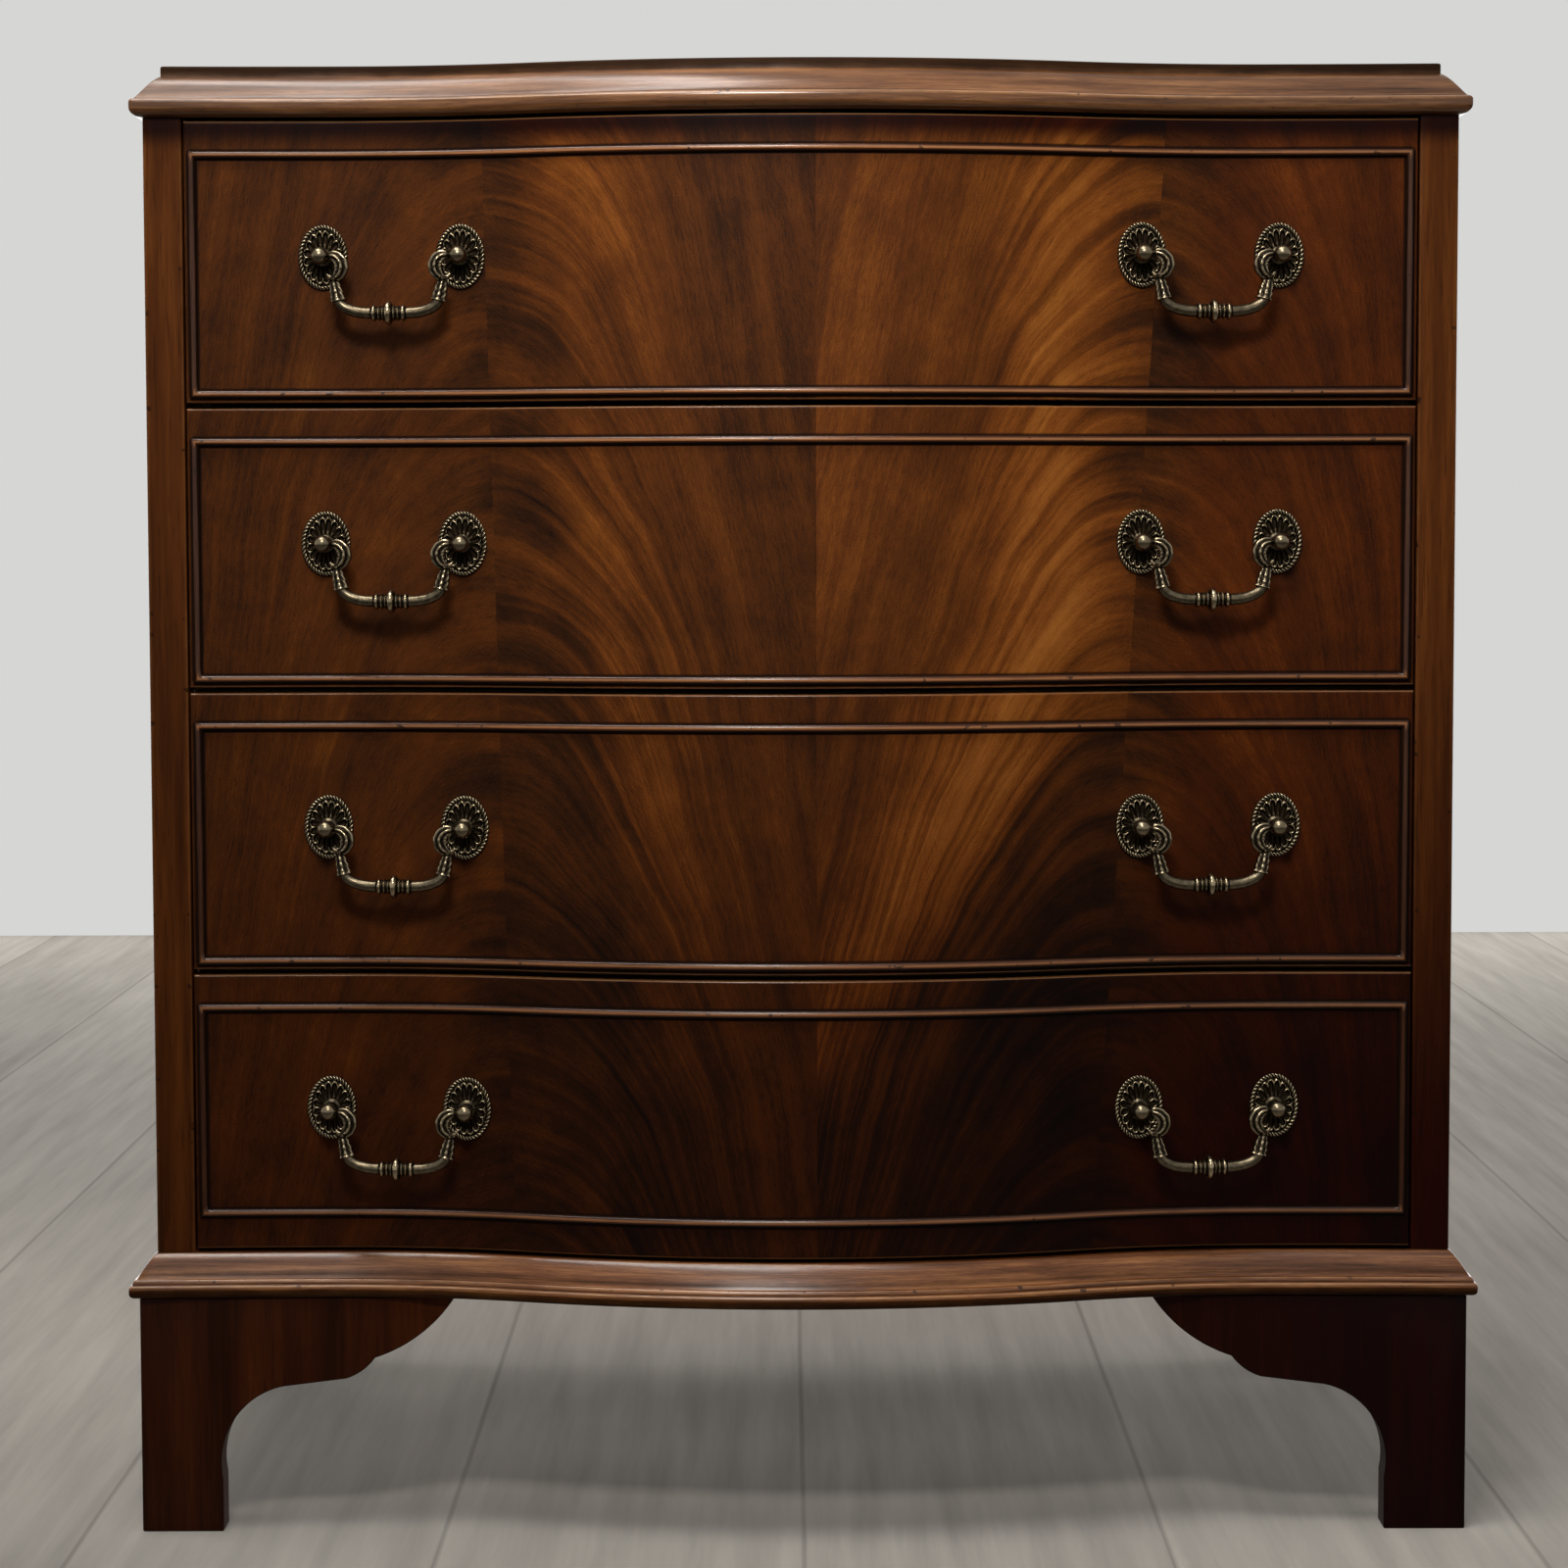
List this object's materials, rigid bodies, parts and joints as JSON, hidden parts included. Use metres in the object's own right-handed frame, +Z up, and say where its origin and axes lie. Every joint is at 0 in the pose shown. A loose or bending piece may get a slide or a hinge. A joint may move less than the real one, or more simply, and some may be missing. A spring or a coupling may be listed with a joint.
{
  "type": "serpentine chest of drawers",
  "caption": "Serpentine-fronted chest of drawers with a moulded top and base on bracket feet, beaded sliding drawers with swan-neck bail handles that swing.",
  "frame": {"origin": "on the floor, under the middle of the chest's width and depth", "axes": "+Z up, -Y the way the drawers open, +X to the right of someone facing the chest"},
  "size_m": [0.7106, 0.46, 0.771],
  "materials": {
    "veneer": "flame mahogany veneer, satin polish",
    "mahogany": "polished mahogany",
    "lining": "plain planed oak",
    "plywood": "plain plywood",
    "brass": "antique, darkened"
  },
  "bodies": {
    "case": {"base": "mahogany", "top": "mahogany", "side_left": "veneer", "side_right": "veneer", "dust_board_1": "plywood", "dust_board_2": "plywood", "dust_board_3": "plywood", "back_panel": "plywood", "foot_front_left": "mahogany", "foot_front_right": "mahogany", "foot_rear_left": "mahogany", "foot_rear_right": "mahogany"},
    "drawer_1": {"drawer_1_front": "veneer", "drawer_1_bead": "mahogany", "drawer_1_side_left": "lining", "drawer_1_side_right": "lining", "drawer_1_back": "lining", "drawer_1_bottom": "plywood", "drawer_1_left_post_left": "brass", "drawer_1_left_post_right": "brass", "drawer_1_right_post_left": "brass", "drawer_1_right_post_right": "brass"},
    "drawer_1_left_bail": {"drawer_1_left_bail": "brass"},
    "drawer_1_right_bail": {"drawer_1_right_bail": "brass"},
    "drawer_2": {"drawer_2_front": "veneer", "drawer_2_bead": "mahogany", "drawer_2_side_left": "lining", "drawer_2_side_right": "lining", "drawer_2_back": "lining", "drawer_2_bottom": "plywood", "drawer_2_left_post_left": "brass", "drawer_2_left_post_right": "brass", "drawer_2_right_post_left": "brass", "drawer_2_right_post_right": "brass"},
    "drawer_2_left_bail": {"drawer_2_left_bail": "brass"},
    "drawer_2_right_bail": {"drawer_2_right_bail": "brass"},
    "drawer_3": {"drawer_3_front": "veneer", "drawer_3_bead": "mahogany", "drawer_3_side_left": "lining", "drawer_3_side_right": "lining", "drawer_3_back": "lining", "drawer_3_bottom": "plywood", "drawer_3_left_post_left": "brass", "drawer_3_left_post_right": "brass", "drawer_3_right_post_left": "brass", "drawer_3_right_post_right": "brass"},
    "drawer_3_left_bail": {"drawer_3_left_bail": "brass"},
    "drawer_3_right_bail": {"drawer_3_right_bail": "brass"},
    "drawer_4": {"drawer_4_front": "veneer", "drawer_4_bead": "mahogany", "drawer_4_side_left": "lining", "drawer_4_side_right": "lining", "drawer_4_back": "lining", "drawer_4_bottom": "plywood", "drawer_4_left_post_left": "brass", "drawer_4_left_post_right": "brass", "drawer_4_right_post_left": "brass", "drawer_4_right_post_right": "brass"},
    "drawer_4_left_bail": {"drawer_4_left_bail": "brass"},
    "drawer_4_right_bail": {"drawer_4_right_bail": "brass"}
  },
  "joints": [
    {"name": "drawer_1_slide", "type": "slide", "parent": "case", "child": "drawer_1", "axis": [0, -1, 0], "range_m": [0, 0.3]},
    {"name": "drawer_1_left_bail_swing", "type": "hinge", "parent": "drawer_1", "child": "drawer_1_left_bail", "pos_m": [-0.213, -0.20047, 0.6713], "axis": [-0.9959, 0.0901, 0], "range_deg": [-15, 195]},
    {"name": "drawer_1_right_bail_swing", "type": "hinge", "parent": "drawer_1", "child": "drawer_1_right_bail", "pos_m": [0.213, -0.20047, 0.6713], "axis": [-0.9959, -0.0901, 0], "range_deg": [-15, 195]},
    {"name": "drawer_2_slide", "type": "slide", "parent": "case", "child": "drawer_2", "axis": [0, -1, 0], "range_m": [0, 0.3]},
    {"name": "drawer_2_left_bail_swing", "type": "hinge", "parent": "drawer_2", "child": "drawer_2_left_bail", "pos_m": [-0.213, -0.20047, 0.5226], "axis": [-0.9959, 0.0901, 0], "range_deg": [-15, 195]},
    {"name": "drawer_2_right_bail_swing", "type": "hinge", "parent": "drawer_2", "child": "drawer_2_right_bail", "pos_m": [0.213, -0.20047, 0.5226], "axis": [-0.9959, -0.0901, 0], "range_deg": [-15, 195]},
    {"name": "drawer_3_slide", "type": "slide", "parent": "case", "child": "drawer_3", "axis": [0, -1, 0], "range_m": [0, 0.3]},
    {"name": "drawer_3_left_bail_swing", "type": "hinge", "parent": "drawer_3", "child": "drawer_3_left_bail", "pos_m": [-0.213, -0.20047, 0.3739], "axis": [-0.9959, 0.0901, 0], "range_deg": [-15, 195]},
    {"name": "drawer_3_right_bail_swing", "type": "hinge", "parent": "drawer_3", "child": "drawer_3_right_bail", "pos_m": [0.213, -0.20047, 0.3739], "axis": [-0.9959, -0.0901, 0], "range_deg": [-15, 195]},
    {"name": "drawer_4_slide", "type": "slide", "parent": "case", "child": "drawer_4", "axis": [0, -1, 0], "range_m": [0, 0.3]},
    {"name": "drawer_4_left_bail_swing", "type": "hinge", "parent": "drawer_4", "child": "drawer_4_left_bail", "pos_m": [-0.213, -0.20047, 0.2252], "axis": [-0.9959, 0.0901, 0], "range_deg": [-15, 195]},
    {"name": "drawer_4_right_bail_swing", "type": "hinge", "parent": "drawer_4", "child": "drawer_4_right_bail", "pos_m": [0.213, -0.20047, 0.2252], "axis": [-0.9959, -0.0901, 0], "range_deg": [-15, 195]}
  ]
}
